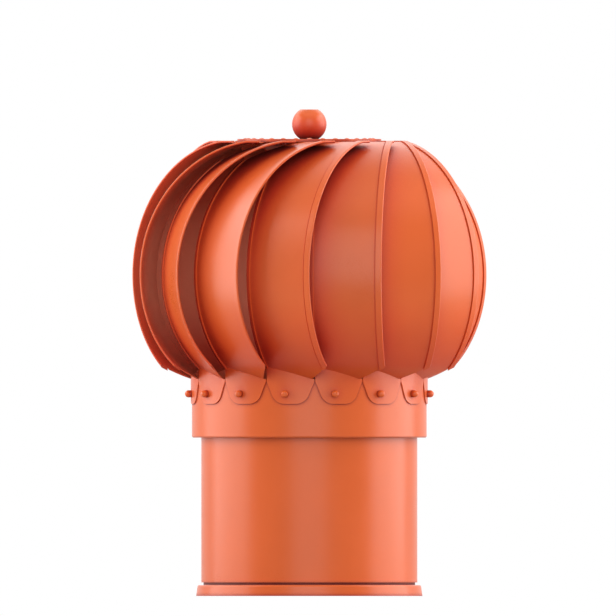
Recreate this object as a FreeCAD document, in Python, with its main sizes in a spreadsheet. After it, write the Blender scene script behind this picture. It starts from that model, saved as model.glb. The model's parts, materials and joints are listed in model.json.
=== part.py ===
"""Rotating chimney cowl: a fixed flue pipe that carries a wind-driven, bladed head on two ball bearings.

Frame: millimetres, +Z up, origin at the centre of the foot's lower edge. The head turns about +Z.
Each blade is worked out in its own frame: X across the blade, Y inwards along it, Z up.
"""
import FreeCAD, Part
import math
import os
import re
import Sketcher
from FreeCAD import Placement, Rotation, Vector

doc = FreeCAD.newDocument("chimney_cowl")
sheet = doc.addObject("Spreadsheet::Sheet", "sizes")

# Driving dimensions: millimetres, degrees for turns and spans, plain numbers for counts
SIZES = {
    "pipe_diameter": 150,
    "pipe_wall": 1.5,
    "foot_height": 7.6,
    "foot_flare": 3.6,
    "foot_taper": 0.9,
    "foot_round": 1,
    "foot_gap": 1.8,
    "spigot_height": 20,
    "collar_base": 110,
    "collar_gap": 5.7,
    "collar_height": 39,
    "collar_hem": 5,
    "sheet_gauge": 0.8,
    "pipe_lap": 36,
    "blade_count": 15,
    "blade_reach": 41.7,
    "blade_angle": 30,
    "blade_width": 50,
    "crown_offset": 18.7,
    "rise_height": 93.4,
    "neck_offset": 45.3,
    "drop_height": 79.3,
    "foot_angle": 75,
    "neck_rise": 74,
    "flat_drop": 1,
    "hem_width": 4.2,
    "groove_width": 0.9,
    "groove_depth": 0.45,
    "rim_width": 2,
    "fold_flat": 0.1,
    "corner_reach": 24.1,
    "corner_angle": 1.8,
    "tip_offset": 22.5,
    "tongue_edge": 31,
    "relief_edge": 28,
    "relief_reach": 46,
    "relief_start": 68,
    "tab_angle": 9.3,
    "tab_gap_angle": 0.2,
    "tab_length": 15.6,
    "tab_foot_width": 21,
    "tab_round": 9.5,
    "rivet_angle": 11.7,
    "rivet_drop": 8.6,
    "rivet_shank": 3.2,
    "rivet_head": 5,
    "rivet_height": 4.6,
    "rivet_tail": 1.2,
    "tail_diameter": 4.5,
    "dome_share": 0.45,
    "disc_diameter": 100,
    "disc_gauge": 2,
    "disc_rivet_circle": 88.8,
    "disc_rivet_head": 4,
    "disc_rivet_height": 0.7,
    "ball_diameter": 24,
    "ball_seat": 10.2,
    "ball_crown": 10.3,
    "stud_diameter": 6,
    "stud_length": 15.5,
    "bearing_bore": 10,
    "bearing_outside": 26,
    "bearing_width": 8,
    "race_gauge": 2.2,
    "roller_diameter": 4.7,
    "roller_count": 7,
    "roller_play": 0.08,
    "cage_gauge": 1.4,
    "cage_height": 6,
    "spacer_length": 12,
    "housing_diameter": 34,
    "housing_flange": 48,
    "housing_top": 3,
    "nut_room": 14,
    "housing_step": 1.8,
    "ring_gauge": 1.2,
    "ring_depth": 1.2,
    "housing_lip": 3.5,
    "screw_circle": 37,
    "screw_diameter": 3,
    "screw_count": 4,
    "screw_head": 6,
    "screw_length": 4,
    "spindle_diameter": 12,
    "spindle_flange": 22,
    "flange_gauge": 4,
    "stud_tail": 3,
    "spindle_nut": 17,
    "spindle_nut_height": 6,
    "bar_width": 24,
    "bar_gauge": 3,
    "bar_depth": 5,
    "bar_tab": 23,
    "bar_rivet_drop": 15,
    "bar_rivet_gap": 13,
    "bar_rivet_head": 6,
    "bar_rivet_height": 1.6,
    "washer_diameter": 24,
    "washer_gauge": 2,
    "cut_margin": 1,
    "fit_clearance": 0.02,
    "hole_clearance": 0.05,
    "seat_clearance": 0.05,
}
for row, (alias, size) in enumerate(SIZES.items(), start=1):
    sheet.set(f"A{row}", alias)
    sheet.set(f"B{row}", str(size))
    sheet.setAlias(f"B{row}", alias)
doc.recompute()


def bound(text):
    """Point each size's name in an expression at its cell of the sheet."""
    return re.sub(r"[a-z]+(?:_[a-z]+)+", lambda word: "sizes." + word.group(0), text)


def number(text):
    """Work an expression out from the sheet, as a plain number."""
    result = sheet.evalExpression(bound(text))
    return float(getattr(result, "Value", result))


# Heights and radii that several pieces share, each written once as an expression
PIPE_RADIUS = "(pipe_diameter / 2)"
PIPE_BORE = "(pipe_diameter / 2 - pipe_wall)"
PIPE_TOP = "(collar_base + pipe_lap)"
SPIGOT_RADIUS = "(pipe_diameter / 2 - pipe_wall - seat_clearance)"
PIPE_BASE = "(foot_height + foot_gap)"
COLLAR_RADIUS = "(pipe_diameter / 2 + collar_gap + sheet_gauge)"
EDGE_RADIUS = f"({COLLAR_RADIUS} + blade_reach)"
COLLAR_TOP = "(collar_base + collar_height)"
EQUATOR = f"({COLLAR_TOP} + neck_rise)"
CROWN = f"({EQUATOR} + rise_height - flat_drop)"
DISC_TOP = f"({CROWN} + disc_gauge)"
ROOM_TOP = f"({CROWN} - housing_top)"
SHOULDER = f"({ROOM_TOP} - nut_room)"
UPPER_BEARING = f"({SHOULDER} - bearing_width)"
LOWER_BEARING = f"({UPPER_BEARING} - spacer_length - bearing_width)"
RING_BASE = f"({LOWER_BEARING} - ring_gauge)"
HOUSING_BASE = f"({RING_BASE} - housing_lip)"
UPPER_BAR = f"({PIPE_TOP} - bar_depth - bar_gauge)"
LOWER_BAR = f"({UPPER_BAR} - bar_gauge)"
BAR_RIVETS = f"({PIPE_TOP} - bar_depth - bar_rivet_drop)"
WASHER_BASE = f"({LOWER_BAR} - washer_gauge)"
LOWER_NUT = f"({WASHER_BASE} - spindle_nut_height)"
ROLLER_CIRCLE = "((bearing_bore + bearing_outside) / 4)"
GROOVE = "(roller_diameter / 2 + roller_play)"

PITCH = 360 / number("blade_count")
SHEET = number("sheet_gauge")
# Points on each of the two arcs of a blade's profile
ARC_STEPS = 9


def primitive(kind, label, place, **sizes):
    """A Part primitive whose properties are bound to the sheet; place is its height above the foot."""
    solid = doc.addObject("Part::" + kind, label)
    for name, text in sizes.items():
        solid.setExpression(name, bound(text))
    solid.setExpression(".Placement.Base.z", bound(place))
    return solid


def cut(label, base, tool):
    """One solid with another taken out of it."""
    result = doc.addObject("Part::Cut", label)
    result.Base = base
    result.Tool = tool
    return result


def tube(label, outer, inner, base, height):
    """A plain ring, given by its two radii."""
    solid = primitive("Cylinder", label + "_solid", base, Radius=outer, Height=height)
    bore = primitive("Cylinder", label + "_bore", base, Radius=inner, Height=height)
    return cut(label, solid, bore)


def held(label, shape):
    """A sub-part whose shape is worked out in code from the sheet."""
    piece = doc.addObject("Part::Feature", label)
    piece.Shape = shape
    piece.Placement = Placement()
    return piece


def turned(label, corners):
    """A body of revolution about Z from the (radius, height) corners of its half section."""
    body = doc.addObject("PartDesign::Body", label)
    sketch = body.newObject("Sketcher::SketchObject", label + "_section")
    plane = next(part for part in body.Origin.OriginFeatures if part.Role == "XZ_Plane")
    sketch.AttachmentSupport = [(plane, "")]
    sketch.MapMode = "FlatFace"
    points = [Vector(number(radius), number(height), 0) for radius, height in corners]
    for index, point in enumerate(points):
        sketch.addGeometry(Part.LineSegment(point, points[(index + 1) % len(points)]))
    for index, (corner, point) in enumerate(zip(corners, points)):
        previous = (index - 1) % len(points)
        sketch.addConstraint(Sketcher.Constraint("Coincident", index, 1, previous, 2))
        across = ("DistanceX", -2, corner[0], point.x)
        along = ("DistanceY", -1, corner[1], point.y)
        for name, axis, text, size in (across, along):
            if text == "0":
                sketch.addConstraint(Sketcher.Constraint("PointOnObject", index, 1, axis))
                continue
            place = sketch.addConstraint(Sketcher.Constraint(name, -1, 1, index, 1, size))
            title = f"{name}_{index}"
            sketch.renameConstraint(place, title)
            sketch.setExpression("Constraints." + title, bound(text))
    turning = body.newObject("PartDesign::Revolution", label + "_turning")
    turning.Profile = sketch
    turning.ReferenceAxis = (sketch, ["V_Axis"])
    turning.Angle = 360
    return body


def around(shape, count, start=0.0):
    """Separate copies of a shape, evenly spaced about Z."""
    copies = []
    for index in range(int(count)):
        copy = shape.copy()
        copy.rotate(Vector(), Vector(0, 0, 1), start + index * 360 / count)
        copies.append(copy)
    return Part.makeCompound(copies)


# Fixed base: the flared foot with a spigot inside, and the flue pipe pushed over that spigot
def foot_ring():
    inside = f"({SPIGOT_RADIUS} - pipe_wall)"
    flare = f"({PIPE_RADIUS} + foot_flare)"
    brow = f"({flare} - foot_taper)"
    top = f"({PIPE_BASE} + spigot_height)"
    return turned("foot_ring", [
        (inside, "0"),
        (flare, "0"),
        (brow, "foot_height - foot_round"),
        (f"{brow} - foot_round / 3", "foot_height - foot_round / 3"),
        (f"{brow} - foot_round", "foot_height"),
        (SPIGOT_RADIUS, "foot_height"),
        (SPIGOT_RADIUS, top),
        (inside, top),
    ])


def base_pipe(drills):
    body = tube("base_pipe_wall", PIPE_RADIUS, PIPE_BORE, PIPE_BASE, f"{PIPE_TOP} - {PIPE_BASE}")
    return cut("base_pipe", body, drills)


# Rotating collar: a rolled ring whose lower edge is hemmed inwards
def collar_ring(drills):
    inside = f"({COLLAR_RADIUS} - sheet_gauge)"
    body = turned("collar_ring_section", [
        (COLLAR_RADIUS, "collar_base + sheet_gauge"),
        (COLLAR_RADIUS, COLLAR_TOP),
        (inside, COLLAR_TOP),
        (inside, "collar_base + collar_hem"),
        (f"{inside} - sheet_gauge", "collar_base + collar_hem"),
        (f"{inside} - sheet_gauge", "collar_base + sheet_gauge"),
        (inside, "collar_base"),
    ])
    return cut("collar_ring", body, drills)


# Blade: a strip rolled to a profile of two elliptic arcs, hemmed on its outer edge
def blade_profile(offset):
    """The strip's section along its length, moved outwards by offset, from its foot to its flat tip."""
    outer_line = -number(EDGE_RADIUS) * math.cos(math.radians(number("blade_angle")))
    flat = number(CROWN) + offset
    equator = number(EQUATOR)
    points = []
    depth = -outer_line - number("neck_offset") + offset
    height = number("drop_height") + offset
    foot = math.radians(number("foot_angle"))
    for step in range(ARC_STEPS):
        angle = foot * (1 - step / ARC_STEPS)
        inward = depth * (1 - math.cos(angle))
        points.append(Vector(0, outer_line - offset + inward, equator - height * math.sin(angle)))
    depth = -outer_line - number("crown_offset") + offset
    height = number("rise_height") + offset
    tip = math.asin((flat - equator) / height)
    for step in range(ARC_STEPS + 1):
        angle = tip * step / ARC_STEPS
        inward = depth * (1 - math.cos(angle))
        points.append(Vector(0, outer_line - offset + inward, equator + height * math.sin(angle)))
    curve = Part.BSplineCurve()
    curve.interpolate(points)
    return curve.toShape(), points[0], points[-1], Vector(0, -number("tip_offset"), flat)


def blade_layer(inner, outer, left, right):
    """One thickness of the strip between two offsets, from its left to its right edge."""
    front, front_foot, front_tip, front_end = blade_profile(outer)
    back, back_foot, back_tip, back_end = blade_profile(inner)
    edges = [front, Part.makeLine(front_tip, front_end), Part.makeLine(front_end, back_end),
             Part.makeLine(back_end, back_tip), back, Part.makeLine(back_foot, front_foot)]
    face = Part.Face(Part.Wire(Part.__sortEdges__(edges)))
    face.translate(Vector(left, 0, 0))
    return face.extrude(Vector(right - left, 0, 0))


def upright_prism(corners, low, high):
    """A prism on a plan outline of (across, inward) corners."""
    points = [Vector(across, inward, low) for across, inward in corners]
    face = Part.Face(Part.makePolygon(points + points[:1]))
    return face.extrude(Vector(0, 0, high - low))


def blade_tab(angle):
    """The riveting tab: a rounded tongue on the collar's wall, from below the strip down to its foot."""
    radius = number(COLLAR_RADIUS)
    top = number(COLLAR_TOP)
    wall = Part.makeCylinder(radius + SHEET, number(EQUATOR))
    wall = wall.cut(Part.makeCylinder(radius, number(EQUATOR)))
    half_span = math.radians((PITCH - number("tab_gap_angle")) / 2)
    half_width = radius * math.sin(half_span)
    half_foot = number("tab_foot_width") / 2
    foot = top - number("tab_length")
    outline = [(-half_width, number(EQUATOR)), (-half_width, top), (-half_foot, foot),
               (half_foot, foot), (half_width, top), (half_width, number(EQUATOR))]
    points = [Vector(across, 0, height) for across, height in outline]
    blank = Part.Face(Part.makePolygon(points + points[:1])).extrude(Vector(0, -2 * radius, 0))
    corners = [edge for edge in blank.Edges
               if all(abs(vertex.Z - foot) < 1e-6 for vertex in edge.Vertexes)
               and abs(edge.Vertexes[0].X - edge.Vertexes[1].X) < 1e-6]
    blank = blank.makeFillet(number("tab_round"), corners)
    tab = wall.common(blank)
    tab.rotate(Vector(), Vector(0, 0, 1), math.degrees(angle))
    return tab


def blade_shape():
    """The whole blade in its own frame: strip, hem, trimmed ends, tab and its two rivet holes."""
    turn = math.radians(number("blade_angle"))
    right = number(EDGE_RADIUS) * math.sin(turn)
    left = right - number("blade_width")
    outer_line = -number(EDGE_RADIUS) * math.cos(turn)
    collar = number(COLLAR_RADIUS)
    equator = number(EQUATOR)
    crown = number(CROWN) + 2 * SHEET
    margin = number("cut_margin")
    hem_edge = right - number("hem_width")
    strip = blade_layer(-SHEET, 0, left, right)
    hem = blade_layer(0, SHEET, hem_edge, right)
    rim = blade_layer(0, SHEET, left, left + number("rim_width"))
    blade = strip.fuse([hem, rim]).removeSplitter()
    fold = [edge for edge in blade.Edges
            if edge.Length > 2 * number("hem_width")
            and all(abs(vertex.X - right) < 1e-6 for vertex in edge.Vertexes)]
    blade = blade.makeFillet(SHEET - number("fold_flat"), fold)
    groove = blade_layer(-number("groove_depth"), SHEET / 2, hem_edge - number("groove_width"), hem_edge)
    blade = blade.cut(groove)

    # Lower end: the free corner is cut off at a slant, and what lies inside the collar goes
    tab_angle = turn - math.radians(number("tab_angle"))
    corner_angle = tab_angle + math.radians((PITCH - number("tab_gap_angle")) / 2 - number("corner_angle"))
    start = (collar * math.sin(corner_angle), -collar * math.cos(corner_angle))
    free = (right, outer_line + number("corner_reach"))
    slope = (free[1] - start[1]) / (free[0] - start[0])
    beyond = right + number("hem_width")
    corner = upright_prism([start, (beyond, start[1] + slope * (beyond - start[0])),
                            (beyond, 0), (start[0], 0)], 0, equator)
    blade = blade.cut([corner, Part.makeCylinder(collar, equator)])

    # Upper end: the inner corner is cut back, which leaves a tongue for the disc's rivet
    tongue = number("tongue_edge")
    relief = upright_prism([(left - margin, -number("relief_start")), (left, -number("relief_start")),
                            (number("relief_edge"), -number("relief_reach")),
                            (tongue, -number("tip_offset")), (tongue, 0), (left - margin, 0)], equator, crown)
    blade = blade.cut(relief)

    # The tab hangs from the strip's inner face, so what stands above that face is taken off
    inside = blade_layer(-collar, -SHEET / 2, left - SHEET, right)
    blade = blade.fuse(blade_tab(tab_angle).cut(inside)).removeSplitter()

    # Holes for the collar's rivet and the disc's rivet
    hole = number("rivet_shank") / 2 + number("hole_clearance")
    level = number(f"{COLLAR_TOP} - rivet_drop")
    lower = Part.makeCylinder(hole, 3 * SHEET, Vector(collar - SHEET, 0, level), Vector(1, 0, 0))
    lower.rotate(Vector(), Vector(0, 0, 1), number("blade_angle") - number("rivet_angle") - 90)
    below = number(CROWN) - 3 * SHEET
    upper = Part.makeCylinder(hole, 4 * SHEET, Vector(number("disc_rivet_circle") / 2, 0, below))
    upper.rotate(Vector(), Vector(0, 0, 1), number("blade_angle") + PITCH - 90)
    return blade.cut([lower, upper])


def rivet_shape(outside, inside, head, height):
    """A dome-headed rivet along X, head outwards, with its upset tail on the far side of the joint."""
    shank = number("rivet_shank / 2")
    tail = number("tail_diameter / 2")
    end = inside - number("rivet_tail")
    dome = min(height, number("dome_share") * head)
    neck = outside + height - dome
    radius = (head ** 2 / 4 + dome ** 2) / (2 * dome)
    crown = Vector(outside + height, 0, 0)
    half_way = math.asin(head / 2 / radius) / 2
    bulge = crown + Vector(math.cos(half_way) - 1, math.sin(half_way), 0) * radius
    corners = [Vector(end, 0, 0), Vector(end, tail, 0), Vector(inside, tail, 0), Vector(inside, shank, 0),
               Vector(outside, shank, 0), Vector(outside, head / 2, 0)]
    if neck > outside:
        corners.append(Vector(neck, head / 2, 0))
    edges = [Part.makeLine(first, second) for first, second in zip(corners, corners[1:])]
    edges.append(Part.Arc(corners[-1], bulge, crown).toShape())
    edges.append(Part.makeLine(crown, corners[0]))
    return Part.Face(Part.Wire(edges)).revolve(Vector(), Vector(1, 0, 0), 360)


def radial_rivets(outside, inside, head, height, level, angles):
    """Rivets through a round wall; their tails stand clear of its hollow side."""
    flat = math.sqrt(inside ** 2 - number("tail_diameter / 2") ** 2)
    rivet = rivet_shape(outside, flat, head, height)
    rivet.translate(Vector(0, 0, level))
    copies = []
    for angle in angles:
        copy = rivet.copy()
        copy.rotate(Vector(), Vector(0, 0, 1), angle)
        copies.append(copy)
    return Part.makeCompound(copies)


def radial_drills(radius, level, angles):
    """Rivet holes through a round wall, from half its radius outwards."""
    size = number("rivet_shank") / 2 + number("hole_clearance")
    drills = []
    for angle in angles:
        drill = Part.makeCylinder(size, radius, Vector(radius / 2, 0, level), Vector(1, 0, 0))
        drill.rotate(Vector(), Vector(0, 0, 1), angle)
        drills.append(drill)
    return Part.makeCompound(drills)


def upright_drills(size, circle, count, low, height):
    """Holes along Z, evenly spaced on a circle."""
    drill = Part.makeCylinder(size, height, Vector(circle / 2, 0, low))
    return around(drill, count)


def ball_bearing(name, base):
    """A deep-groove ball bearing: two grooved races, the balls and the cage between them."""
    middle = f"({base} + bearing_width / 2)"
    bore = "(bearing_bore / 2 + fit_clearance)"
    outside = "(bearing_outside / 2)"
    for race, outer, inner in (("inner", f"{bore} + race_gauge", bore),
                               ("outer", outside, f"{outside} - race_gauge")):
        label = f"{name}_bearing_{race}_race"
        blank = tube(label + "_blank", outer, inner, base, "bearing_width")
        groove = primitive("Torus", label + "_groove", middle, Radius1=ROLLER_CIRCLE, Radius2=GROOVE)
        nodes.append(cut(label, blank, groove))
    circle = number(ROLLER_CIRCLE)
    level = number(middle)
    count = number("roller_count")
    radius = number("roller_diameter") / 2
    ball = Part.makeSphere(radius, Vector(circle, 0, level))
    nodes.append(held(f"{name}_bearing_balls", around(ball, count)))
    half = number("cage_gauge") / 2
    rise = number("cage_height")
    ring = Part.makeCylinder(circle + half, rise, Vector(0, 0, level - rise / 2))
    ring = ring.cut(Part.makeCylinder(circle - half, rise, Vector(0, 0, level - rise / 2)))
    pocket_radius = radius + number("roller_play")
    pocket = Part.makeCylinder(pocket_radius, circle, Vector(circle / 2, 0, level), Vector(1, 0, 0))
    nodes.append(held(f"{name}_bearing_cage", ring.cut(around(pocket, count))))


def hex_nut(label, base, hole):
    """A plain hexagon nut on the spindle."""
    blank = primitive("Prism", label + "_blank", base, Circumradius="spindle_nut / 2 / cos(30)",
                      Height="spindle_nut_height")
    blank.Polygon = 6
    bore = primitive("Cylinder", label + "_bore", base, Radius=hole, Height="spindle_nut_height")
    return cut(label, blank, bore)


def bracket_bar(label, base, turn, drills):
    """A flat bar across the pipe whose ends turn down and lie against the pipe's wall."""
    wall = f"({PIPE_BORE} - seat_clearance)"
    bar = primitive("Box", label + "_flat", base, Length=f"2 * {wall}", Width="bar_width", Height="bar_gauge")
    bar.setExpression(".Placement.Base.x", bound(f"0 - {wall}"))
    bar.setExpression(".Placement.Base.y", bound("0 - bar_width / 2"))
    pieces = [bar]
    for side, start in (("left", f"0 - {wall}"), ("right", f"{wall} - 2 * bar_gauge")):
        foot = f"({PIPE_TOP} - bar_depth - bar_tab)"
        tab = primitive("Box", f"{label}_{side}", foot, Length="2 * bar_gauge", Width="bar_width",
                        Height=f"{base} + bar_gauge - {foot}")
        tab.setExpression(".Placement.Base.x", bound(start))
        tab.setExpression(".Placement.Base.y", bound("0 - bar_width / 2"))
        pieces.append(tab)
    blank = doc.addObject("Part::MultiFuse", label + "_blank")
    blank.Shapes = pieces
    low = f"({PIPE_TOP} - bar_depth - bar_tab)"
    round_off = primitive("Cylinder", label + "_round", low, Radius=wall, Height="bar_tab")
    rounded = doc.addObject("Part::Common", label + "_rounded")
    rounded.Base = blank
    rounded.Tool = round_off
    hollow = primitive("Cylinder", label + "_hollow", low, Radius=f"{wall} - bar_gauge",
                       Height=f"{base} - {low}")
    trimmed = cut(label + "_trimmed", rounded, hollow)
    hole = primitive("Cylinder", label + "_hole", base, Radius="bearing_bore / 2 + hole_clearance",
                     Height="bar_gauge")
    drilled = cut(label + "_drilled", trimmed, hole)
    drilled.Placement = Placement(Vector(), Rotation(Vector(0, 0, 1), turn))
    return cut(label, drilled, drills)


nodes = []
first_edge = -90
blade_count = int(number("blade_count"))
collar_rivet_angles = [first_edge + PITCH * index - number("rivet_angle") for index in range(blade_count)]
bar_rivet_offset = math.degrees(math.asin(number("bar_rivet_gap") / number("pipe_diameter")))
bar_rivet_angles = [quarter * 90 + side * bar_rivet_offset for quarter in range(4) for side in (-1, 1)]

# Base
bar_rivet_level = number(BAR_RIVETS)
pipe_drills = held("pipe_rivet_holes", radial_drills(number(PIPE_RADIUS), bar_rivet_level, bar_rivet_angles))
nodes.append(foot_ring())
nodes.append(base_pipe(pipe_drills))
nodes.append(bracket_bar("bracket_bar_lower", LOWER_BAR, 0, pipe_drills))
nodes.append(bracket_bar("bracket_bar_upper", UPPER_BAR, 90, pipe_drills))
nodes.append(held("bracket_rivets", radial_rivets(
    number(PIPE_RADIUS), number(f"{PIPE_BORE} - seat_clearance - bar_gauge"), number("bar_rivet_head"),
    number("bar_rivet_height"), bar_rivet_level, bar_rivet_angles)))

# Spindle: a turned pin with a flange on the bars, a shoulder under the bearings and a stud at each end
nodes.append(turned("spindle", [
    ("0", f"{LOWER_NUT} - stud_tail"),
    ("bearing_bore / 2", f"{LOWER_NUT} - stud_tail"),
    ("bearing_bore / 2", f"{UPPER_BAR} + bar_gauge"),
    ("spindle_flange / 2", f"{UPPER_BAR} + bar_gauge"),
    ("spindle_flange / 2", f"{UPPER_BAR} + bar_gauge + flange_gauge"),
    ("spindle_diameter / 2", f"{UPPER_BAR} + bar_gauge + flange_gauge"),
    ("spindle_diameter / 2", LOWER_BEARING),
    ("bearing_bore / 2", LOWER_BEARING),
    ("bearing_bore / 2", f"{SHOULDER} + spindle_nut_height + stud_tail"),
    ("0", f"{SHOULDER} + spindle_nut_height + stud_tail"),
]))
STUD_HOLE = "bearing_bore / 2 + hole_clearance"
nodes.append(tube("bracket_washer", "washer_diameter / 2", STUD_HOLE, WASHER_BASE, "washer_gauge"))
nodes.append(hex_nut("bracket_nut", LOWER_NUT, STUD_HOLE))
nodes.append(hex_nut("bearing_nut", SHOULDER, STUD_HOLE))
ball_bearing("upper", UPPER_BEARING)
ball_bearing("lower", LOWER_BEARING)
RACE_BORE = "bearing_bore / 2 + fit_clearance"
nodes.append(tube("inner_spacer", f"{RACE_BORE} + race_gauge", RACE_BORE,
                  f"{LOWER_BEARING} + bearing_width", "spacer_length"))

# Head: bearing housing under the top disc
SEAT = "(bearing_outside / 2 + fit_clearance)"
housing = turned("bearing_housing_section", [
    ("0", ROOM_TOP),
    (f"{SEAT} - housing_step", ROOM_TOP),
    (f"{SEAT} - housing_step", SHOULDER),
    (SEAT, SHOULDER),
    (SEAT, LOWER_BEARING),
    (f"{SEAT} + ring_depth", LOWER_BEARING),
    (f"{SEAT} + ring_depth", RING_BASE),
    (SEAT, RING_BASE),
    (SEAT, HOUSING_BASE),
    ("housing_diameter / 2", HOUSING_BASE),
    ("housing_diameter / 2", ROOM_TOP),
    ("housing_flange / 2", ROOM_TOP),
    ("housing_flange / 2", CROWN),
    ("0", CROWN),
])
screw_hole = number("screw_diameter") / 2 + number("hole_clearance")
drill_depth = number("housing_top + disc_gauge + 2 * cut_margin")
screw_drills = upright_drills(screw_hole, number("screw_circle"), number("screw_count"),
                              number(f"{ROOM_TOP} - cut_margin"), drill_depth)
stud_drill = Part.makeCylinder(number("stud_diameter / 2 + hole_clearance"), drill_depth,
                               Vector(0, 0, number(f"{ROOM_TOP} - cut_margin")))
flange_holes = held("flange_holes", Part.makeCompound([screw_drills, stud_drill]))
nodes.append(cut("bearing_housing", housing, flange_holes))
nodes.append(tube("outer_spacer", "bearing_outside / 2", "bearing_outside / 2 - race_gauge",
                  f"{LOWER_BEARING} + bearing_width", "spacer_length"))
snap_ring = tube("retaining_ring_whole", f"{SEAT} + ring_depth - hole_clearance",
                 "bearing_outside / 2 - race_gauge", RING_BASE, "ring_gauge")
gap = primitive("Box", "retaining_ring_gap", RING_BASE, Length="bearing_outside", Width="bearing_width",
                Height="ring_gauge")
gap.setExpression(".Placement.Base.y", bound("0 - bearing_width / 2"))
nodes.append(cut("retaining_ring", snap_ring, gap))

# Top disc with its rivet holes and countersunk screw holes
disc = primitive("Cylinder", "top_disc_blank", CROWN, Radius="disc_diameter / 2", Height="disc_gauge")
rivet_hole = number("rivet_shank") / 2 + number("hole_clearance")
disc_rivet_place = Vector(number("disc_rivet_circle / 2"), 0, number(f"{CROWN} - cut_margin"))
disc_rivet_drill = Part.makeCylinder(rivet_hole, number("disc_gauge + 2 * cut_margin"), disc_rivet_place)
disc_rivet_start = first_edge + PITCH
head_depth = number("disc_gauge") - 2 * number("hole_clearance")
countersink = Part.makeCone(screw_hole, number("screw_head") / 2 + number("hole_clearance"), head_depth,
                            Vector(number("screw_circle") / 2, 0, number(DISC_TOP) - head_depth))
disc_holes = held("disc_holes", Part.makeCompound([
    around(disc_rivet_drill, blade_count, disc_rivet_start), screw_drills, stud_drill,
    around(countersink, number("screw_count"))]))
nodes.append(cut("top_disc", disc, disc_holes))

# Countersunk screws that hold the housing's flange to the disc
screw_place = Vector(number("screw_circle / 2"), 0, number(DISC_TOP) - head_depth)
screw = Part.makeCone(number("screw_diameter / 2"), number("screw_head / 2"), head_depth, screw_place)
shank_length = number("screw_length") - head_depth
screw = screw.fuse(Part.makeCylinder(number("screw_diameter / 2"), shank_length,
                                     screw_place - Vector(0, 0, shank_length)))
nodes.append(held("housing_screws", around(screw, number("screw_count"))))

# Ball knob on its stud
knob = primitive("Sphere", "ball_knob_blank", f"{DISC_TOP} + ball_seat", Radius="ball_diameter / 2",
                 Angle1="asin(0 - 2 * ball_seat / ball_diameter)",
                 Angle2="asin(2 * ball_crown / ball_diameter)")
knob_hole = primitive("Cylinder", "ball_knob_hole", DISC_TOP, Radius="stud_diameter / 2 + hole_clearance",
                      Height="stud_length - housing_top - disc_gauge + seat_clearance")
nodes.append(cut("ball_knob", knob, knob_hole))
nodes.append(primitive("Cylinder", "knob_stud", ROOM_TOP, Radius="stud_diameter / 2", Height="stud_length"))

# Disc rivets: low heads above the disc, tails under the blades' tongues
disc_rivet = rivet_shape(number(DISC_TOP), number(CROWN) - SHEET, number("disc_rivet_head"),
                         number("disc_rivet_height"))
disc_rivet.rotate(Vector(), Vector(0, 1, 0), -90)
disc_rivet.translate(Vector(number("disc_rivet_circle / 2"), 0, 0))
nodes.append(held("disc_rivets", around(disc_rivet, blade_count, disc_rivet_start)))

# Collar, its rivets and the blades
collar_level = number(f"{COLLAR_TOP} - rivet_drop")
collar_drills = radial_drills(number(COLLAR_RADIUS), collar_level, collar_rivet_angles)
nodes.append(collar_ring(held("collar_rivet_holes", collar_drills)))
nodes.append(held("collar_rivets", radial_rivets(
    number(COLLAR_RADIUS) + SHEET, number(COLLAR_RADIUS) - SHEET, number("rivet_head"),
    number("rivet_height"), collar_level, collar_rivet_angles)))
blade = blade_shape()
for index in range(blade_count):
    piece = doc.addObject("Part::Feature", f"blade_{index + 1:02d}")
    piece.Shape = blade
    piece.Placement = Placement(Vector(), Rotation(Vector(0, 0, 1), index * PITCH - number("blade_angle")))
    nodes.append(piece)

doc.recompute()
for item in doc.Objects:
    if "Invalid" in item.State or "Error" in item.State:
        raise RuntimeError(f"{item.Name} did not compute: {item.State}")
os.makedirs("parts", exist_ok=True)
for node in nodes:
    if node.Shape.isNull() or not node.Shape.isValid():
        raise RuntimeError(f"{node.Label} has no valid shape")
    node.Shape.exportStep(f"parts/{node.Label}.step")
    print(f"{node.Label}: {len(node.Shape.Solids)} solid(s), {node.Shape.Volume:.1f} mm3")
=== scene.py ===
# %% [markdown]
# # A rotating chimney cowl
# The cowl is a fixed flue pipe with a bladed head that turns on a spindle. Its solids come ready made
# from the CAD model, in metres and in their real places: pressed sheet with its hems, grooves, tabs and
# rivets needs no further shapes. This lesson dresses them. It mixes the finishes, lays them on every
# piece, and sets up a plain studio round the result.

# %% Load the model
import json
import math

import bmesh
import bpy
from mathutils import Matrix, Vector

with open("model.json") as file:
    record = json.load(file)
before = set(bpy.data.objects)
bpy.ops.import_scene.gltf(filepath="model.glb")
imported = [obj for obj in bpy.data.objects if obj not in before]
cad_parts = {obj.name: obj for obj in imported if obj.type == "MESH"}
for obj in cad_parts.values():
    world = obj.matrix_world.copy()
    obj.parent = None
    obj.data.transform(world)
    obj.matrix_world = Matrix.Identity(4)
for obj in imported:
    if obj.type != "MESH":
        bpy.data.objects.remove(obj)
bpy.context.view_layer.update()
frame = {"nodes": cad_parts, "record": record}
nodes = frame["nodes"]


# %% [markdown]
# Finishes are made from shader nodes. Wiring nodes by hand takes many lines, so one small class wraps a
# socket. Adding or multiplying two wrapped sockets adds the Math node that does it, and one method makes
# any other node. Two short methods stand for nodes that come back often: a mix of two colours, and a
# value that rises from 0 to 1 between two limits. A formula for the roughness of a paint then reads like
# a formula.

# %% A socket that takes part in sums
def plug(target, value):
    """Link a wire to a socket, or set a plain value on it."""
    if isinstance(value, Wire):
        value.tree.links.new(value.socket, target)
    else:
        target.default_value = value


def fill_ramp(ramp, stops):
    """Give a colour ramp its stops, in rising order. A new ramp has two, so the others are added."""
    while len(ramp.elements) < len(stops):
        ramp.elements.new(1.0)
    for element, (position, colour) in zip(ramp.elements, stops):
        element.position = position
        element.color = colour


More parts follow.
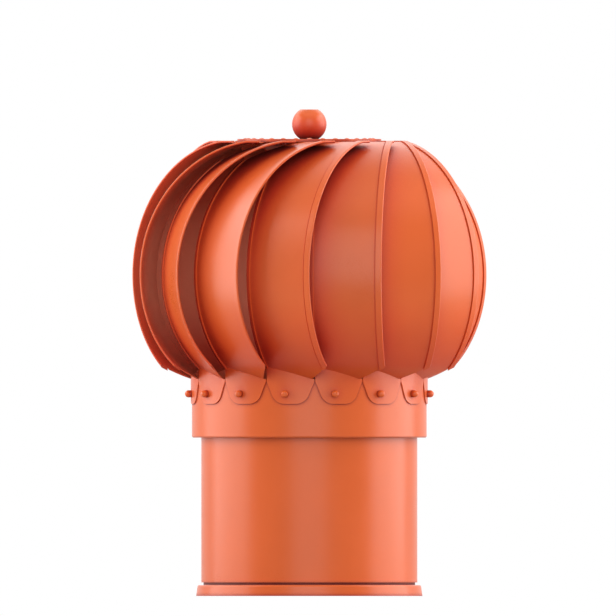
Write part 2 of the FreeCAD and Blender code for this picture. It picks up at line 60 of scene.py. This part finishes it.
class Wire:
    """One output socket of a node tree. A new node's sockets go by name, or by number as in i0."""

    def __init__(self, tree, socket=None):
        self.tree = tree
        self.socket = socket

    def node(self, kind, settings=None, output=0, **sockets):
        """Add a node, set its settings, then fill its sockets with values or links."""
        made = self.tree.nodes.new("ShaderNode" + kind)
        for name, value in (settings or {}).items():
            if name == "stops":
                fill_ramp(made.color_ramp, value)
            else:
                setattr(made, name, value)
        for name, value in sockets.items():
            numbered = name[1:].isdigit()
            plug(made.inputs[int(name[1:]) if numbered else name.replace("_", " ")], value)
        return Wire(self.tree, made.outputs[output])

    def mix(self, factor, first, second, kind="MIX"):
        """Go from the first colour to the second, as far as the factor says."""
        settings = {"data_type": "RGBA", "blend_type": kind}
        return self.node("Mix", settings, output=2, i0=factor, i6=first, i7=second)

    def between(self, start, end, easing="LINEAR"):
        """0 where this value is at the start, 1 where it is at the end. The end may be lower."""
        settings = {"interpolation_type": easing}
        return self.node("MapRange", settings, Value=self, From_Min=start, From_Max=end)

    def sum(self, operation, first, second):
        return self.node("Math", {"operation": operation}, i0=first, i1=second)

    def __add__(self, other):
        return self.sum("ADD", self, other)

    def __radd__(self, other):
        return self.sum("ADD", other, self)

    def __sub__(self, other):
        return self.sum("SUBTRACT", self, other)

    def __rsub__(self, other):
        return self.sum("SUBTRACT", other, self)

    def __mul__(self, other):
        return self.sum("MULTIPLY", self, other)

    def __rmul__(self, other):
        return self.sum("MULTIPLY", other, self)


def new_finish(name):
    """An empty material: the material, its shader and the coordinates that its patterns read."""
    material = bpy.data.materials.new(name)
    material.use_nodes = True
    shader = material.node_tree.nodes["Principled BSDF"]
    place = Wire(material.node_tree).node("TexCoord", output="Object")
    return material, shader, place


def feed(shader, **sockets):
    """Link wires to the shader's sockets, or set plain values on them."""
    for name, value in sockets.items():
        plug(shader.inputs[name.replace("_", " ")], value)


# %% [markdown]
# The outside is sheet steel under a satin, brick-red stoving paint. In corners, light that bounces from
# paint to paint grows redder and darker, and that shade is painted into the colour here. The Ambient
# Occlusion node measures how open a place is, and a colour ramp turns that into painted shade, from a
# dark red in a deep corner to the open brick red. The blades overlap by centimetres, but the seams round
# collar and foot are only millimetres deep, so blades and body each have a ramp and a reach of their own.

# %% Tones of the paint, with painted shade
brick_red = (0.775, 0.127, 0.022, 1)
# Ramps of painted shade: dark red in deep corners, brick red in the open.
overlap_shade_tones = [
    (0.0, (0.13, 0.007, 0.002, 1)),
    (0.3, (0.34, 0.015, 0.004, 1)),
    (0.55, (0.52, 0.032, 0.008, 1)),
    (0.75, (0.70, 0.082, 0.016, 1)),
    (0.93, brick_red),
]
seam_shade_tones = [
    (0.45, (0.16, 0.009, 0.002, 1)),
    (0.72, (0.45, 0.035, 0.009, 1)),
    (0.93, brick_red),
]


def openness_within(place, reach):
    """How open a place is, as far as the reach: 0 in a deep corner, 1 in the open."""
    return place.node("AmbientOcclusion", {"samples": 4}, output="AO", Distance=reach)


print(len(overlap_shade_tones), "tones where blades overlap,", len(seam_shade_tones), "tones at seams")

# %% [markdown]
# The inner sides of the blades get painted light of their own: a painted sheen makes them a dull pinkish
# brown, paler where the sheet stands upright, and painted shade makes them dark under the crown. The dot
# product of the normal with the way to the axis tells how far a place faces inwards, and a ramp of its
# own gives the tone. Where the next blade covers the sheet, one even painted shade takes over.
#
# A second occlusion with a very short reach finds the narrow grooves and the creases beside the rims,
# which get only a light painted shade and stay nearly as bright as open paint. Low on the head, where a
# blade turns under above its tab, the tone is a little redder: painted light that stands in for red light
# bounced up from the painted collar.

# %% The two sides of a blade
inner_sheen_and_shade_tones = [
    (0.25, (0.04, 0.006, 0.004, 1)),
    (0.6, (0.3, 0.045, 0.024, 1)),
    (0.8, (0.62, 0.125, 0.07, 1)),
    (0.95, (0.98, 0.34, 0.21, 1)),
]
covered_shade_brown = (0.72, 0.18, 0.085, 1)
groove_shade_red = (0.72, 0.1, 0.02, 1)
groove_reach = 0.0025
collar_bounce_filter = (1.0, 0.72, 0.78, 1)
low_start = 0.205
low_end = 0.165
tab_top = 0.154
tab_bend = 0.006


def inwardness(place):
    """How far a surface faces the cowl's axis: 1 straight towards it, -1 straight away."""
    normal = place.node("TexCoord", output="Normal")
    level = place.node("VectorMath", {"operation": "MULTIPLY"}, i0=place, i1=(-1, -1, 0))
    to_axis = place.node("VectorMath", {"operation": "NORMALIZE"}, i0=level)
    dot_product = {"operation": "DOT_PRODUCT"}
    return place.node("VectorMath", dot_product, output="Value", i0=normal, i1=to_axis)


def blade_tone(place, openness, outer_tone):
    """The tone of a blade: outside as given, inside a painted sheen and shade by how upright the sheet
    stands.
    """
    inward = inwardness(place)
    inner_side = inward.between(0.05, 0.3)
    covered = openness.between(0.9, 0.5)
    # A light painted shade in grooves and creases.
    groove = openness_within(place, groove_reach).between(0.95, 0.65)
    height = place.node("SeparateXYZ", output="Z", Vector=place)
    # Painted red bounce light from the collar, low on the head.
    low = height.between(low_start, low_end) * height.between(tab_top, tab_top + tab_bend)
    # Painted sheen where the inner side stands upright, painted shade under the crown and where it is
    # covered.
    upright_sheen_and_shade = place.node("ValToRGB", {"stops": inner_sheen_and_shade_tones}, Fac=inward)
    inner_painted_tone = place.mix(covered, upright_sheen_and_shade, covered_shade_brown)
    tone = place.mix(inner_side, outer_tone, inner_painted_tone)
    tone = place.mix(groove, tone, groove_shade_red)
    return place.mix(low, tone, collar_bounce_filter, "MULTIPLY")


print("the redder zone lies from", tab_top, "to", low_start, "m above the foot's lower edge")

# %% [markdown]
# A coat of paint is never one flat colour: it is a little thicker here and thinner there, its skin has a
# fine orange-peel ripple, and its sheen varies. Three noise textures give those, all read in the object's
# own space so that nothing slides. The broad one shifts the shade and the sheen, the middle one makes the
# ripple, and the fine one adds a grain to all three. The coat is also duller in corners, where no cloth
# reaches.

# %% Brick-red paint
def brick_paint(name, reach, tones, is_blade=False):
    material, shader, place = new_finish(name)
    cloud = place.node("TexNoise", Vector=place, Scale=22.0, Detail=3.0)
    peel = place.node("TexNoise", Vector=place, Scale=620.0, Detail=2.0, Roughness=0.45)
    grain = place.node("TexNoise", Vector=place, Scale=2600.0, Detail=1.0)
    shade = cloud * 0.16 + grain * 0.05 + 0.895
    tint = place.node("CombineColor", Red=shade, Green=shade, Blue=shade)
    # The occlusion ramp paints shade into the colour: darker and redder in corners and along seams.
    openness = openness_within(place, reach)
    tone = place.node("ValToRGB", {"stops": tones}, Fac=openness)
    if is_blade:
        tone = blade_tone(place, openness, tone)
    colour = place.mix(1.0, tone, tint, "MULTIPLY")
    roughness = cloud * 0.1 + grain * 0.06 + 0.62 - openness * 0.4
    ripple = place.node("Bump", Height=peel + grain * 0.3, Strength=0.22, Distance=0.00009)
    feed(shader, Base_Color=colour, Roughness=roughness, Normal=ripple)
    return material


blade_paint = brick_paint("blade_paint", reach=0.028, tones=overlap_shade_tones, is_blade=True)
# The ball's longer reach paints shade on its lower half, next to the disc.
ball_paint = brick_paint("ball_paint", reach=0.035, tones=overlap_shade_tones)
body_paint = brick_paint("body_paint", reach=0.0035, tones=seam_shade_tones)
print("the blades' paint has", len(blade_paint.node_tree.nodes), "nodes")

# %% [markdown]
# Bars, spindle and housing are zinc plated, and nobody polishes them: the plate is a dull grey with
# cloudy patches. Turned and rolled steel also keeps fine marks from the tool, which stretch round the
# part, so one noise is squeezed along Z until it reads as rings.

# %% Zinc plate, bearing steel and cage brass
def plated(name, tone, roughness, clouding, ring_depth):
    material, shader, place = new_finish(name)
    cloud = place.node("TexNoise", Vector=place, Scale=140.0, Detail=4.0)
    squeezed = place.node("Mapping", Vector=place, Scale=(60.0, 60.0, 5200.0))
    rings = place.node("TexNoise", Vector=squeezed, Scale=1.0, Detail=2.0)
    dark = tuple(channel * (1 - clouding) for channel in tone[:3]) + (1,)
    colour = place.mix(cloud, dark, tone)
    marks = place.node("Bump", Height=rings, Strength=0.3, Distance=ring_depth)
    feed(shader, Base_Color=colour, Roughness=cloud * 0.18 + roughness, Normal=marks, Metallic=1.0)
    return material


zinc_grey = (0.56, 0.57, 0.58, 1)
steel_grey = (0.66, 0.66, 0.67, 1)
brass_yellow = (0.66, 0.47, 0.2, 1)
zinc = plated("zinc_plate", zinc_grey, roughness=0.38, clouding=0.35, ring_depth=0.00006)
steel = plated("bearing_steel", steel_grey, roughness=0.14, clouding=0.12, ring_depth=0.00002)
brass = plated("cage_brass", brass_yellow, roughness=0.3, clouding=0.3, ring_depth=0.00003)
print("made", zinc.name, steel.name, brass.name)

# %% [markdown]
# Each CAD piece names its finish in the record, so the record says which material goes where. Among the
# painted pieces, the blades and the ball have paints of their own. The meshes stay as they are, and only
# their material slots change.

# %% Lay the finishes on the pieces
finishes = {"paint": body_paint, "zinc": zinc, "polished": steel, "brass": brass}
for subpart in frame["record"]["subparts"]:
    name = subpart["node"]
    finish = finishes[subpart["material_slot"]]
    if name.startswith("blade_"):
        finish = blade_paint
    if name == "ball_knob":
        finish = ball_paint
    slots = nodes[name].data.materials
    slots.clear()
    slots.append(finish)
print("finished", len(nodes), "pieces")

# %% [markdown]
# The studio is plain: a pale floor that takes the shadow, and a white backdrop. The floor lies just below
# the foot. It looks pale to the camera but throws little light back, so the undersides of the blades stay
# deep. The Light Path node tells which kind of ray asks for the colour.

# %% Floor
floor_half_width = 2.5
floor_drop = 0.0005
floor_seen = (0.9, 0.9, 0.9, 1)
floor_thrown_back = (0.3, 0.3, 0.3, 1)


def ray_kinds(start):
    """Three wires that are 1 for a ray from the camera, off a mirroring surface, or through glass."""
    kinds = ("Is Camera Ray", "Is Glossy Ray", "Is Transmission Ray")
    return [start.node("LightPath", output=kind) for kind in kinds]


floor_mesh = bmesh.new()
bmesh.ops.create_grid(floor_mesh, x_segments=1, y_segments=1, size=floor_half_width)
bmesh.ops.translate(floor_mesh, verts=floor_mesh.verts, vec=(0, 0, -floor_drop))
floor = bpy.data.objects.new("studio_floor", bpy.data.meshes.new("studio_floor"))
floor_mesh.to_mesh(floor.data)
floor_mesh.free()
bpy.context.scene.collection.objects.link(floor)
floor_finish, floor_shader, floor_place = new_finish("pale_floor")
camera_ray, glossy_ray, clear_ray = ray_kinds(floor_place)
paleness = camera_ray + clear_ray + glossy_ray * 0.5
floor_tone = floor_place.mix(paleness, floor_thrown_back, floor_seen)
feed(floor_shader, Base_Color=floor_tone, Roughness=0.9)
floor.data.materials.append(floor_finish)
print("floor is", round(floor.dimensions.x, 2), "m wide")

# %% [markdown]
# The world plays the backdrop. It is white for the camera. For reflections it is bright behind the cowl
# and high up in front, and dimmer straight above, so that the paint's far edges and its crown turn pale
# as they do in a real studio. As a source of light it is even all round and weaker towards the top, which
# keeps the paint's own colour.

# %% Backdrop and general light
sky_level = 0.75
sky_loss_at_top = 0.45
room_sheen = 0.12
backdrop_sheen = 0.88
high_backdrop_sheen = 1.3
ceiling_sheen = 0.95
ceiling_loss_to_back = 1.7

world = bpy.data.worlds.new("studio")
world.use_nodes = True
bpy.context.scene.world = world
start = Wire(world.node_tree)
direction = start.node("TexCoord", output="Generated")
ahead = start.node("SeparateXYZ", output="Y", Vector=direction)
upward = start.node("SeparateXYZ", output="Z", Vector=direction)
behind = ahead.between(0.1, 1.0, "SMOOTHSTEP")
beyond = ahead.between(0.1, 0.5)
above = upward.between(0.0, 1.0)
raised = upward.between(0.15, 0.6, "SMOOTHSTEP")
overhead = upward.between(0.6, 1.0, "SMOOTHSTEP")
soft_sky = sky_level - above * sky_loss_at_top
backdrop = behind * backdrop_sheen + beyond * raised * high_backdrop_sheen
ceiling = overhead * (ceiling_sheen - ahead * ceiling_loss_to_back)
mirrored = backdrop + ceiling + room_sheen
camera_ray, glossy_ray, clear_ray = ray_kinds(start)
white = camera_ray + clear_ray
lit = soft_sky * (1 - glossy_ray) + mirrored * glossy_ray
feed(world.node_tree.nodes["Background"], Color=(1, 1, 1, 1), Strength=white + lit * (1 - white))
print("the backdrop has", len(world.node_tree.nodes), "nodes")

# %% [markdown]
# Three tall soft lights draw the upright bands that a satin pipe shows: one at each side, a little behind
# the cowl, and a broad weak one in front. Their places follow from the bands: where the pipe's surface
# faces 46 degrees to the left, it mirrors what stands 92 degrees to the left. Area lamps have soft edges,
# as a studio's boxes do.

# %% Soft lights
aim_point = Vector((0, 0, 0.2))


def softbox(name, azimuth, distance, height, width, tall, glow):
    """A rectangular light, azimuth degrees to the camera's right, with a surface as bright as glow."""
    light = bpy.data.lights.new(name, "AREA")
    light.shape = "RECTANGLE"
    light.size = width
    light.size_y = tall
    light.energy = glow * math.pi * width * tall
    lamp = bpy.data.objects.new(name, light)
    turn = math.radians(azimuth)
    lamp.location = (distance * math.sin(turn), -distance * math.cos(turn), height)
    aim = aim_point - lamp.location
    lamp.rotation_euler = aim.to_track_quat("-Z", "Y").to_euler()
    bpy.context.scene.collection.objects.link(lamp)
    print(name, "gives", round(light.energy, 1), "watts")


softbox("left_light", azimuth=-93, distance=1.1, height=0.4, width=1.2, tall=1.5, glow=2.8)
softbox("right_light", azimuth=94, distance=1.1, height=0.45, width=1.15, tall=1.6, glow=3.2)
softbox("front_light", azimuth=0, distance=2.6, height=0.9, width=1.8, tall=2.4, glow=1.9)

# %% [markdown]
# The photograph was taken from far away and level with the cowl, so the camera is orthographic. Its scale
# comes from the pipe: 150 mm of it cover 216 of the picture's 616 pixels. The picture's middle lies 288
# pixels above the foot's lower edge, and 1.3 pixels to the left of the cowl's axis.

# %% Camera
pipe_width = 0.150
pipe_pixels = 216
picture_pixels = 616
middle_left_of_axis = 1.3
middle_above_foot = 288
camera_distance = 2.0

pixel = pipe_width / pipe_pixels
camera_data = bpy.data.cameras.new("camera")
camera_data.type = "ORTHO"
camera_data.ortho_scale = picture_pixels * pixel
camera = bpy.data.objects.new("camera", camera_data)
camera.location = (-middle_left_of_axis * pixel, -camera_distance, middle_above_foot * pixel)
camera.rotation_euler = (math.radians(90), 0, 0)
bpy.context.scene.collection.objects.link(camera)
bpy.context.scene.camera = camera
bpy.context.scene.view_settings.view_transform = "Standard"
print("the picture is", round(camera_data.ortho_scale, 3), "m wide")
